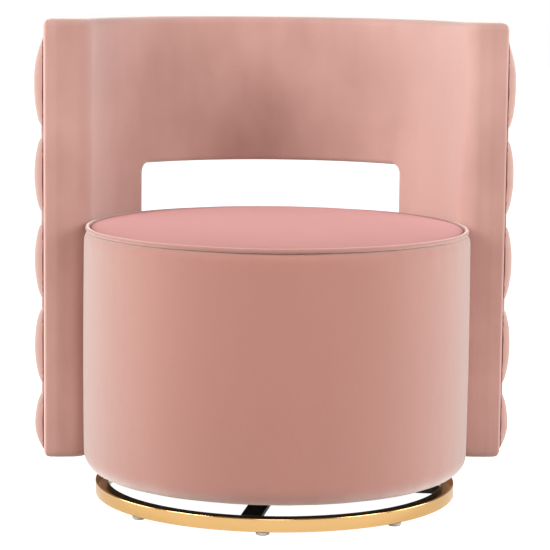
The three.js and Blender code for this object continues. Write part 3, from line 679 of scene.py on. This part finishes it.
# ---- Base ----
def gold_ring():
    """The base ring, with softly rounded edges."""
    inner, edge = RING_OUTER - RING_WIDTH, RING_EDGE
    profile = []
    for r, z, start in (
        (RING_OUTER - edge, RING_BOTTOM + edge, -90),
        (RING_OUTER - edge, RING_TOP - edge, 0),
        (inner + edge, RING_TOP - edge, 90),
        (inner + edge, RING_BOTTOM + edge, 180),
    ):
        profile += arc(r, z, edge, edge, start, start + 90, 5)
    columns = 256
    points = [around(r, 2 * math.pi * i / columns, z) for i in range(columns) for r, z in profile]
    faces = grid_faces(columns, len(profile), wrap_columns=True, wrap_rows=True)
    return mesh_object("gold_ring", points, faces, body="base")


def dress_frame():
    """Gives every CAD node that stays the finish of its material slot."""
    slots = {part["node"]: part["material_slot"] for part in frame["record"]["subparts"]}
    for node, slot in slots.items():
        piece = bpy.data.objects[node]
        piece.data.materials.clear()
        piece.data.materials.append(LOOKS[slot])


def build():
    dress_frame()
    drum = dress(drum_surface(), DRUM_VELVET)
    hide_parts("drum_cover")
    top = dress(cushion(), SEAT_VELVET)
    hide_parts("seat_cover")
    cord = tube_ring("seat_welt_cord", WELT_OUTER - 0.0033, WELT_LEVEL, 0.0034, 7)
    welt = dress(cord, WELT_VELVET)
    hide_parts("seat_welt")
    cover = dress(inner_cover(), BACK_VELVET)
    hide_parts("inner_cover")
    panel = tufted_panel()
    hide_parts("tufted_panel")
    dress(tuft_buttons(), PANEL_VELVET)
    for name in ("inner_padding", "outer_padding"):
        padding = bpy.data.objects[name]
        padding.modifiers.new("joined", "WELD").merge_threshold = 1e-5
        draw_in = padding.modifiers.new("draw_in", "DISPLACE")
        draw_in.strength, draw_in.mid_level = -PADDING_SETBACK, 0
    dust_cloth()
    ring = dress(gold_ring(), GOLD)
    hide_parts("base_ring")


# ---- Studio, given about the swivel axis with the picture's depth along +Y ----
CHAIR_TURN = math.radians(2.968)
CAMERA_PLACE = (-0.00264, -3.64087, 0.82402)
CAMERA_PITCH, CAMERA_ROLL = math.radians(7.572), math.radians(0.63)
FOCAL_LENGTH_IN_PICTURES = 2412.18 / 550
LIT_POINT = (0, 0, 0.4)
FLOOR_REACH = 14


def from_view(point):
    """A place given about the swivel axis, with the picture's depth along +Y, in the chair's frame."""
    x, y, z = point
    c, s = math.cos(CHAIR_TURN), math.sin(CHAIR_TURN)
    return Vector((AXIS.x + x * c + y * s, AXIS.y - x * s + y * c, z))


def make_camera():
    c, s = math.cos(CAMERA_PITCH), math.sin(CAMERA_PITCH)
    right, up, back = Vector((1, 0, 0)), Vector((0, s, c)), Vector((0, -c, s))
    cr, sr = math.cos(CAMERA_ROLL), math.sin(CAMERA_ROLL)
    tilted_right, tilted_up = cr * right + sr * up, cr * up - sr * right
    turn = Matrix.Rotation(-CHAIR_TURN, 3, "Z")
    axes = [turn @ v for v in (tilted_right, tilted_up, back)]
    data = bpy.data.cameras.new("camera")
    data.sensor_width = 36
    data.lens = 36 * FOCAL_LENGTH_IN_PICTURES
    data.clip_end = 60
    camera = bpy.data.objects.new("camera", data)
    place = from_view(CAMERA_PLACE)
    camera.matrix_world = Matrix.Translation(place) @ Matrix(axes).transposed().to_4x4()
    bpy.context.scene.collection.objects.link(camera)
    bpy.context.scene.camera = camera


def soft_box(name, place, width, height, power):
    """A white area light turned towards the chair."""
    data = bpy.data.lights.new(name, "AREA")
    data.shape = "RECTANGLE"
    data.size, data.size_y = width, height
    data.energy = power
    light = bpy.data.objects.new(name, data)
    light.location = from_view(place)
    aim = from_view(LIT_POINT) - light.location
    light.rotation_euler = aim.to_track_quat("-Z", "Y").to_euler()
    bpy.context.scene.collection.objects.link(light)


def seen_and_cast(tree, seen, mirrored, cast):
    """A strength that differs for the camera, for glossy reflections, and for light cast on the chair."""
    path = tree.nodes.new("ShaderNodeLightPath")
    strength = None
    for ray, value in (("Is Glossy Ray", mirrored), ("Is Camera Ray", seen)):
        mix = tree.nodes.new("ShaderNodeMix")
        mix.inputs["A"].default_value = cast
        mix.inputs["B"].default_value = value
        tree.links.new(path.outputs[ray], mix.inputs["Factor"])
        if strength:
            tree.links.new(strength, mix.inputs["A"])
        strength = mix.outputs["Result"]
    return strength


def make_studio():
    scene = bpy.context.scene
    scene.view_settings.view_transform = "Standard"
    world = bpy.data.worlds.new("studio")
    world.use_nodes = True
    sky = world.node_tree.nodes["Background"]
    sky.inputs["Color"].default_value = (1, 1, 1, 1)
    world.node_tree.links.new(seen_and_cast(world.node_tree, 1.0, 0.28, 0.28), sky.inputs["Strength"])
    scene.world = world
    floor = bpy.data.meshes.new("floor")
    corners = [(x * FLOOR_REACH, y * FLOOR_REACH, 0) for x, y in ((-1, -1), (1, -1), (1, 1), (-1, 1))]
    floor.from_pydata(corners, [], [(0, 1, 2, 3)])
    stage = bpy.data.objects.new("floor", floor)
    scene.collection.objects.link(stage)
    paper, tree, shader = new_material("floor_paper")
    shader.inputs["Base Color"].default_value = (0.5, 0.5, 0.5, 1)
    shader.inputs["Roughness"].default_value = 0.9
    shader.inputs["Emission Color"].default_value = (1, 1, 1, 1)
    tree.links.new(seen_and_cast(tree, 1.0, 0.42, 0.03), shader.inputs["Emission Strength"])
    floor.materials.append(paper)
    soft_box("key_box", (-2.6, -1.5, 1.9), 1.5, 1.4, 80)
    soft_box("fill_box", (2.6, -1.5, 1.8), 1.5, 1.4, 64)
    soft_box("front_box", (0, -3.3, 1.1), 1.2, 1.0, 22)
    soft_box("left_box", (-2.8, 0.25, 0.6), 1.4, 1.2, 30)
    soft_box("right_box", (2.8, 0.15, 0.6), 1.4, 1.2, 30)


make_camera()
make_studio()
build()
